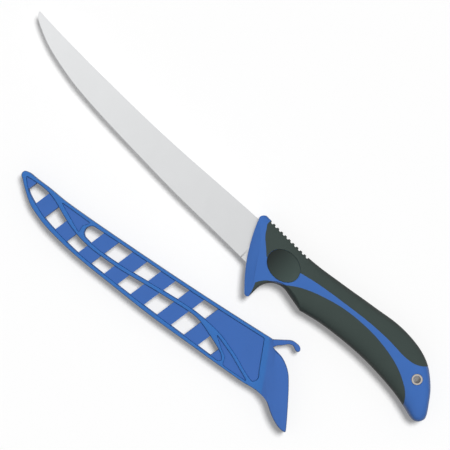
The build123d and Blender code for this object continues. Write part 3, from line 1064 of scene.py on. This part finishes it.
    def jimps(self) -> Piece:
        """The row of round notches for the thumb, as one tool.

        Returns:
            The tool.
        """
        height = self.guard_rise - self.jimp_depth + self.jimp_radius
        deep = 2 * self.half
        first = cylinder((self.jimp_start, height), self.jimp_radius, -deep, deep)
        return row_of(first, self.jimp_count, self.jimp_pitch, RUBBER)

    def dished(self, pads: Piece, node: str, side: int) -> Piece:
        """One thumb pad, with a shallow dish sunk from its own face.

        Args:
            pads: both pads, as one mesh.
            node: the pad's CAD node.
            side: 1 for the front, -1 for the back.

        Returns:
            The pad.
        """
        x, y = self.guard_points(self.pad_at)
        wide, tall = self.pad_axes
        keep = half_room((x, y), 2 * self.half, 2 * side * self.half)
        pad = combine(copied(pads, node + ENDING), Cut.KEEP, keep)
        for corner in pad.data.vertices:
            reach = math.hypot((corner.co.x - x) / wide, (corner.co.y - y) / tall)
            if side * corner.co.z > self.pad_floor and reach < 1:
                corner.co.z -= side * self.dish_depth * (1 - reach**2) ** self.dish_power
        dropped(keep)
        return pad

    def seats(self) -> list[Piece]:
        """The eyelet's hole with its two seats, and the tang's room.

        Returns:
            The tools.
        """
        deep, centre = 2 * self.half, self.eyelet_centre()
        level = self.eyelet_share * self.half - self.flange
        return [
            cylinder(centre, self.eyelet_hole, -deep, deep),
            cylinder(centre, self.eyelet_seat, level, deep),
            cylinder(centre, self.eyelet_seat, -deep, -level),
            prism("tang_room", TANG_ROOM, -self.tang_half, self.tang_half),
        ]

    def build(self, place: Matrix) -> None:
        """Makes, places and dresses every piece of the handle.

        Args:
            place: the drawing's place, in millimetres in the frame.
        """
        front, pads, spine_room, belly_room, pad_tool = (
            prism("room", outline, -2 * self.half, 2 * self.half) for outline in (
                self.front_outline(), self.pad_outline(0.0), *self.grip_outlines(),
                self.pad_outline(self.pad_gap)))
        finger, inner_finger = self.finger_cutter(0.0), self.finger_cutter(self.grip_wall)
        wedges, seats, teeth = self.bevel_wedges(), self.seats(), self.jimps()
        block = self.form(0.0, self.rows, self.around)
        block.name = "handle_core" + ENDING
        block = combine(block, Cut.KEEP, front)
        block = combine(block, Cut.REMOVE, finger, *wedges)
        inner = self.form(self.grip_wall, self.inner_rows, self.inner_around)
        inner = combine(inner, Cut.REMOVE, inner_finger)
        spine = combine(copied(block, "spine_grip" + ENDING), Cut.KEEP, spine_room)
        spine = combine(spine, Cut.REMOVE, pads, inner)
        belly = combine(copied(block, "belly_grip" + ENDING), Cut.KEEP, belly_room)
        belly = combine(belly, Cut.REMOVE, pads, inner)
        skins = combine(copied(spine_room, "skins"), Cut.JOIN, belly_room, pads)
        skins = combine(skins, Cut.REMOVE, inner)
        pair = combine(copied(block, "pad_pair"), Cut.KEEP, pad_tool)
        pair = combine(pair, Cut.REMOVE, inner)
        spine = combine(spine, Cut.REMOVE, teeth)
        core = combine(block, Cut.REMOVE, *seats, skins)
        front_pad, back_pad = (
            self.dished(pair, node, side)
            for node, side in (("thumb_pad_front", 1), ("thumb_pad_back", -1)))
        for piece, finish in (
                (core, BLUE), (spine, RUBBER), (belly, RUBBER), (front_pad, PAD), (back_pad, PAD)):
            dress(piece, place, finish, "knife")
        dropped(front, pads, spine_room, belly_room, pad_tool, finger, inner_finger, *wedges,
                *seats, teeth, inner, skins, pair)


@dataclass
class BladeBuilder:
    """The flat-ground blade with its plunge, edge bevel, heel and tang."""

    length: float = 178.5
    depth: float = 23.2
    half: float = 1.1
    tip_half: float = 0.4
    shoulder_half: float = 0.25
    edge_half: float = 0.06
    edge_bevel: float = 0.9
    bevel_faces: int = 3
    spine_break: float = 0.12
    plunge: float = 7.4
    plunge_blend: float = 1.6
    heel_ends: Point = (13.0, 0.5)
    heel_rows: int = 40
    rows: int = 150
    faces: int = 14

    def section(self, x: float, top: float, low: float) -> list[tuple[float, float, float]]:
        """One upright section, from the spine down one side and back up the other.

        Args:
            x: its place along the blade.
            top: the spine's height.
            low: the edge's height.

        Returns:
            Its points.
        """
        thin = self.tip_half + (self.half - self.tip_half) * min(1.0, 1 + x / self.length)
        share = min(1.0, max(0.0, (x - self.plunge) / self.plunge_blend + 0.5))
        square = share * share * (3 - 2 * share)
        crown, shoulder = top - self.spine_break, low + self.edge_bevel
        side = [(top, thin - self.spine_break)]
        for k in range(self.faces + 1):
            flat = thin + (self.shoulder_half - thin) * k / self.faces
            side.append((crown + (shoulder - crown) * k / self.faces,
                         flat + (self.half - flat) * square))
        for k in range(1, self.bevel_faces + 1):
            fall = k / self.bevel_faces
            flat = self.shoulder_half + (self.edge_half - self.shoulder_half) * fall
            side.append((low + self.edge_bevel * (1 - fall), flat + (self.half - flat) * square))
        return [(x, y, z) for y, z in side] + [(x, y, -z) for y, z in reversed(side)]

    def build(self, place: Matrix) -> None:
        """Makes, places and dresses the blade with its tang.

        Args:
            place: the drawing's place, in millimetres in the frame.
        """
        line = smooth_line(scaled(BLADE_STATIONS, -self.length, self.depth, -self.depth),
                           self.rows)
        heel = [(x, *line[0][1:]) for x in np.linspace(*self.heel_ends, self.heel_rows)]
        blade = stack("blade" + ENDING, [self.section(*row) for row in [*heel, *line]])
        tang = prism("tang", TANG, -self.half, self.half)
        blade = combine(blade, Cut.JOIN, tang)
        dropped(tang)
        dress(blade, place, STEEL, "knife")


@dataclass
class EyeletBuilder:
    """The rolled lanyard eyelet and the washer that it is set against."""

    bore: float = 2.3
    barrel: float = 2.65
    flange_radius: float = 3.3
    flange: float = 0.6
    half: float = 7.79
    washer_break: float = 0.15
    roll_start: float = 0.25
    roll_points: int = 14
    segments: int = 96

    def ring(self, name: str, profile: Line) -> Piece:
        """A turned ring about the upright axis.

        Args:
            name: the piece's name.
            profile: its closed profile, as distance from the axis and height.

        Returns:
            The ring.
        """
        mesh = bpy.data.meshes.new(name)
        edges = [(k, (k + 1) % len(profile)) for k in range(len(profile))]
        mesh.from_pydata([(r - self.barrel, h, 0.0) for r, h in profile], edges, [])
        return turned(linked(name, mesh), self.barrel, self.segments, EYELET)

    def rolled(self) -> list[Point]:
        """The eyelet's profile: a thin barrel whose end is rolled over.

        Returns:
            Its corners, as distance from the axis and height.
        """
        lip = self.half - self.flange
        crown = [
            (self.bore + (self.flange_radius - self.bore) * (1 - math.cos(a)) / 2,
             lip + self.flange * math.sin(a))
            for a in np.linspace(self.roll_start, math.pi, self.roll_points)
        ]
        return [(self.bore, -self.half), *crown, (self.barrel, lip), (self.barrel, -self.half)]

    def build(self, place: Matrix, centre: Array) -> None:
        """Makes, places and dresses the eyelet and its washer.

        Args:
            place: the drawing's place, in millimetres in the frame.
            centre: where the axis stands in the drawing.
        """
        low, top, rim = -self.half, -self.half + self.flange, self.flange_radius
        washer = [(self.barrel, low), (rim - self.washer_break, low),
                  (rim, low + self.washer_break), (rim, top), (self.barrel, top)]
        there = place @ Matrix.Translation((*centre, 0.0))
        for node, profile in (("lanyard_eyelet", self.rolled()), ("eyelet_washer", washer)):
            dress(self.ring(node + ENDING, profile), there, EYELET, "knife")


# The sheath


@dataclass
class SheathBuilder:
    """Two half shells with rims and ribs, slanted windows, a flared throat and a latch finger."""

    throat: float = 182.0
    depth: float = 30.7
    fin_reach: float = 32.76
    fin_depth: float = 41.412
    rim_half: float = 4.9
    panel_half: float = 3.7
    panel_lap: float = 0.8
    collar_half: float = 7.0
    slot_half: float = 2.2
    slot_inset: float = 0.3
    pocket_half: float = 5.7
    ramp: float = 8.0
    edge_wall: float = 1.4
    blade_room: float = 1.35
    overrun: float = 6.0
    rim_round: Point = (0.62, 1.15)
    hole_shares: tuple[float, ...] = (0.9, 0.9, 0.6, 0.6)
    collar_round: Point = (0.8, 1.4)
    collar_soften: float = 0.9
    latch_half: float = 3.0
    latch_round: Point = (0.5, 0.9)
    latch_drop: float = 0.6
    gap: float = 0.55
    window_rows: tuple[tuple[int, int], ...] = ((0, 8), (2, 5))
    pitch_share: float = 0.1107
    start_share: float = 0.092
    width_share: float = 0.0545
    slant: float = 19.3
    turn: float = 11.1
    corner: Point = (59.6, -45.9)
    handle_half: float = 9.5

    def points(self, shares: Line) -> Array:
        """Thousandths of the throat's length and the sheath's depth as points."""
        return scaled(shares, self.throat, self.depth)

    def fin(self, shares: Line) -> Array:
        """Thousandths of the fin's reach and depth as points."""
        return scaled(shares, self.fin_reach, self.fin_depth) + (self.throat, 0)

    def outline(self) -> Array:
        """The sheath in side view, without its latch finger.

        Returns:
            The outline.
        """
        edge = self.points(EDGE_RIM)[::-1]
        under = np.vstack([edge[:1], self.fin(FIN_UNDER)])[::-1]
        return evened(joined(
            arc_line(*self.points(RIM_NOSE), count=14),
            smooth_line(self.points(SPINE_RIM), count=240),
            smooth_line(self.fin(FIN_REAR)[::-1], count=120),
            smooth_line(under, count=90),
            smooth_line(edge, count=300),
        ), self.gap, soften=0.35)

    def cells(self) -> list[Array]:
        """The lower and the upper cell, each bounded by rims and ribs.

        Returns:
            Their outlines.
        """
        base = self.points(LOWER_CELL_BASE)
        lower = joined(smooth_line(self.points(LOWER_CELL_TOP), count=260), base[:1],
                       smooth_line(base[1:], count=260))
        top, mouth = self.points(UPPER_CELL_TOP), self.points(UPPER_CELL_MOUTH)
        upper = joined(
            smooth_line(np.vstack([top, mouth[:1]]), count=160),
            mouth[:2],
            smooth_line(mouth[1:], count=16),
            smooth_line(self.points(UPPER_CELL_BASE), count=200),
            arc_line(*self.points(UPPER_CELL_END), count=16),
        )
        return [evened(cell, self.gap, soften=0.45) for cell in (lower, upper)]

    def blinds(self) -> list[Array]:
        """The two blind recesses."""
        return [evened(self.points(shares), gap=0.4, soften=1.0)
                for shares in (TIP_RECESS, MOUTH_RECESS)]

    def bands(self, first: int, count: int) -> Piece:
        """Slanted bars, evenly pitched, that cut a row of windows.

        Args:
            first: the number of the first window, from the tip.
            count: how many windows there are.

        Returns:
            The bars as one mesh.
        """
        lean = math.tan(math.radians(self.slant)) * self.depth
        x = (self.start_share + first * self.pitch_share) * self.throat
        half = self.width_share * self.throat / 2
        bar = prism("window_bar", [(x - half, 0), (x + half, 0), (x + half - lean, -self.depth),
                                   (x - half - lean, -self.depth)],
                    -self.collar_half, self.collar_half)
        return row_of(bar, count, self.pitch_share * self.throat, SHEATH)

    def ramp_block(self) -> Piece:
        """The room that the swollen throat fills: it rises on a ramp from the panel's level.

        Returns:
            The room.
        """
        far, high = self.fin_reach + self.fin_depth, 2 * self.collar_half
        upper = [(0, self.panel_half), (self.ramp, self.collar_half), (self.ramp, high),
                 (far, high)]
        section = [(0, -self.panel_half), *upper, *((x, -z) for x, z in reversed(upper[1:]))]
        return beam("ramp_block", self.points(UPPER_CELL_MOUTH)[:2], 3 * self.fin_depth, section)

    def slot_tool(self) -> Piece:
        """The blade's slot between the two shells, open at the mouth.

        Returns:
            The tool.
        """
        spine = smooth_line(self.points(SPINE_RIM[2:]), count=120) - (0, self.edge_wall)
        edge = smooth_line(self.points(EDGE_RIM[1:]), count=160) + (self.slot_inset, self.edge_wall)
        x_mouth = self.fin(FIN_REAR[4])[0]
        line = joined(spine, [(x_mouth, spine[-1][1]), (x_mouth, edge[-1][1])], edge[::-1])
        return prism("slot_tool", evened(line, self.gap, self.gap), -self.slot_half, self.slot_half)

    def pocket_tool(self) -> Piece:
        """The wider throat that the guard's hook seats in.

        Returns:
            The tool.
        """
        rear, under = self.fin(FIN_REAR), self.fin(FIN_UNDER[4:])
        x_top, far = self.throat + self.blade_room, self.throat + self.fin_reach + self.overrun
        low = under[-1][1] + self.edge_wall
        line = [(x_top, self.overrun), (x_top, rear[-1][1]),
                (under[0][0] - self.edge_wall, under[0][1] + 2 * self.edge_wall),
                (under[1][0], low), (far, low), (far, self.overrun)]
        return prism("pocket_tool", line, -self.pocket_half, self.pocket_half)

    def latch(self) -> Piece:
        """The sprung finger that hooks over the guard's bump.

        Returns:
            The finger.
        """
        outer, inner = self.fin(LATCH_OUTER), self.fin(LATCH_INNER)
        root = outer[0] - (self.overrun, self.latch_drop)
        line = joined(smooth_line(outer, count=60), smooth_line(inner, count=60),
                      [(root[0], inner[-1][1]), root])
        return plate("latch", evened(line, gap=0.3, soften=0.5), self.latch_half, self.latch_round)

    def whole(self) -> Piece:
        """Both shells as one mesh, before they are parted on the middle plane.

        Returns:
            The mesh.
        """
        outline, holes = self.outline(), [*self.cells(), *self.blinds()]
        body = plate("sheath_body", outline, self.rim_half, self.rim_round, holes,
                     self.hole_shares)
        tools = []
        for number, hole in enumerate(holes):
            panel = prism("panel", grown(hole, self.panel_lap), -self.panel_half, self.panel_half)
            if number < len(self.window_rows):
                bars = self.bands(*self.window_rows[number])
                panel = combine(panel, Cut.REMOVE, bars)
                tools.append(bars)
            body = combine(body, Cut.JOIN, panel)
            tools.append(panel)
        collar = plate("collar", evened(outline, self.gap, self.collar_soften),
                       self.collar_half, self.collar_round)
        ramp, slot, pocket, latch = (
            self.ramp_block(), self.slot_tool(), self.pocket_tool(), self.latch())
        collar = combine(collar, Cut.KEEP, ramp)
        body = combine(body, Cut.JOIN, collar)
        body = combine(body, Cut.REMOVE, slot, pocket)
        body = combine(body, Cut.JOIN, latch)
        dropped(*tools, collar, ramp, slot, pocket, latch)
        return body

    def build(self, place: Matrix) -> None:
        """Makes, places and dresses both shells.

        Args:
            place: the knife's place, in millimetres in the frame.
        """
        whole = self.whole()
        there = (place @ Matrix.Translation((*self.corner, self.collar_half - self.handle_half))
                 @ Matrix.Rotation(math.radians(self.turn), 4, "Z")
                 @ Matrix.Translation((-self.throat, -self.fin(FIN_REAR[-1])[1], 0)))
        for node, side in (("sheath_front_shell", 1), ("sheath_back_shell", -1)):
            keep = half_room((0, 0), 2 * self.throat, 2 * side * self.collar_half)
            shell = combine(copied(whole, node + ENDING), Cut.KEEP, keep)
            dropped(keep)
            dress(shell, there, SHEATH, "sheath")
        dropped(whole)


# The picture


@dataclass
class Studio:
    """The pale floor, the light and the camera above the knife."""

    centre: Point = (0.00115, 0.02229)
    object_level: float = 0.007
    height: float = 1.327
    lens: float = 180.0
    sensor: float = 36.0
    view_turn: float = 45.0
    view_end: float = 10.0
    floor_half: float = 3.0
    sky: float = 0.2
    sun_share: float = 0.84
    sun_lean: float = 18.0
    sun_angle: float = 18.0
    horizon: Point = (0.05, 0.55)
    floor_tone: float = 0.2
    floor_seen_tone: float = 0.77
    floor_lift: float = 0.205

    def floor(self) -> None:
        """The floor, white to the camera, which keeps the soft shadow."""
        far = self.floor_half
        mesh = bpy.data.meshes.new("floor")
        mesh.from_pydata([(-far, -far, 0), (far, -far, 0), (far, far, 0), (-far, far, 0)], [],
                         [(0, 1, 2, 3)])
        floor = linked("floor", mesh)
        made = bpy.data.materials.new("pale_floor")
        nodes = shader_tree(made)
        seen = self.seen(nodes)
        tone = nodes.ranged(seen, wanted=(self.floor_tone, self.floor_seen_tone))
        lift = nodes.math("MULTIPLY", seen, self.floor_lift)
        matt = nodes.add("ShaderNodeBsdfDiffuse", {"Color": tone})
        glow = nodes.add("ShaderNodeEmission", {"Color": (1, 1, 1, 1), "Strength": lift})
        both = nodes.add("ShaderNodeAddShader", {0: matt, 1: glow})
        nodes.add("ShaderNodeOutputMaterial", {"Surface": both})
        mesh.materials.append(made)

    def seen(self, nodes: NodeTree) -> Node:
        """One for a ray from the camera, or by way of metal or glass, and nought for the others.

        Args:
            nodes: the tree that asks.

        Returns:
            The node that gives it.
        """
        path = nodes.add("ShaderNodeLightPath").outputs
        seen = nodes.math("MAXIMUM", path["Is Camera Ray"], path["Is Glossy Ray"])
        return nodes.math("MAXIMUM", seen, path["Is Transmission Ray"])

    def light(self) -> None:
        """A sky that sheds no light from its foot, and a wide sun from the knife's spine side."""
        world = bpy.data.worlds.new("studio")
        bpy.context.scene.world = world
        nodes = shader_tree(world)
        level = nodes.ranged(self.seen(nodes), wanted=(self.sky, 1))
        up = nodes.add("ShaderNodeTexCoord").outputs["Generated"]
        fade = nodes.ranged(nodes.axis(up, "Z"), self.horizon, interpolation_type="SMOOTHSTEP")
        path = nodes.add("ShaderNodeLightPath").outputs
        open_sky = nodes.math("MAXIMUM", fade, path["Is Camera Ray"])
        power = nodes.math("MULTIPLY", level, open_sky)
        back = nodes.add("ShaderNodeBackground", {"Color": (1, 1, 1, 1), "Strength": power})
        nodes.add("ShaderNodeOutputWorld", {"Surface": back})
        lamp = bpy.data.lights.new("window_light", "SUN")
        lean = math.radians(self.sun_lean)
        lamp.energy = self.sun_share * math.pi / math.cos(lean)
        lamp.angle = math.radians(self.sun_angle)
        sun = linked("window_light", lamp)
        sun.matrix_world = Matrix.Rotation(-lean, 4, "X")
        sun.visible_glossy = False

    def camera(self) -> None:
        """The camera, straight above, with the knife lying across its view."""
        data = bpy.data.cameras.new("camera")
        data.lens, data.sensor_width, data.clip_end = self.lens, self.sensor, self.view_end
        camera = linked("camera", data)
        camera.matrix_world = (
            Matrix.Translation((*self.centre, self.object_level + self.height))
            @ Matrix.Rotation(math.radians(self.view_turn), 4, "Z"))
        bpy.context.scene.camera = camera

    def build(self) -> None:
        """Makes the floor, the light and the camera."""
        self.floor()
        self.light()
        self.camera()
        bpy.context.scene.view_settings.view_transform = "Standard"


def drawing_place(handle: HandleBuilder) -> Matrix:
    """Where the knife's drawing lies in the frame, found from the eyelet's CAD node.

    Args:
        handle: the handle, whose drawing has the eyelet.

    Returns:
        The place, in millimetres.
    """
    low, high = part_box("lanyard_eyelet")
    middle = (low + high) / 2 / MM
    x, y = handle.eyelet_centre()
    return Matrix.Translation((middle.x - x, middle.y - y, middle.z))


def main() -> None:
    """Builds the picture and every sub-assembly, and reports each piece."""
    logging.basicConfig(level=logging.INFO, format="%(name)s: %(message)s")
    Studio().build()
    handle = HandleBuilder()
    place = drawing_place(handle)
    BladeBuilder().build(place)
    handle.build(place)
    EyeletBuilder().build(place, handle.eyelet_centre())
    SheathBuilder().build(place)


if __name__ == "__main__":
    main()
